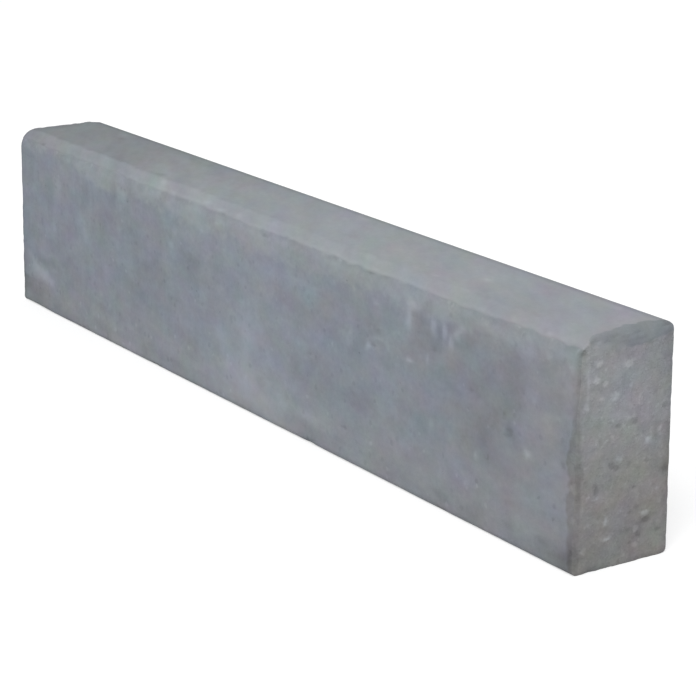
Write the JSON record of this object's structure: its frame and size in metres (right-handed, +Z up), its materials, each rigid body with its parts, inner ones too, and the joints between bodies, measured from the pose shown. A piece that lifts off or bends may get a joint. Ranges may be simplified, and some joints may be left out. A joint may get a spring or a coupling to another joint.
{
  "type": "concrete kerb stone",
  "caption": "Straight precast concrete kerb stone with one large rounded road edge, laid end to end on a bed of concrete to edge a road or path.",
  "frame": {"origin": "middle of the bed, the flat underside that the stone stands on", "axes": "+X along the length, -Y out of the road face, +Y out of the back, +Z up from the bed to the top"},
  "size_m": [1, 0.0999, 0.2],
  "materials": {
    "concrete": "bluish grey cast concrete, dense and mould-smooth on the road face and top, rough with open grain on the butt ends"
  },
  "bodies": {
    "root": {"kerb_stone": "concrete"}
  },
  "joints": []
}
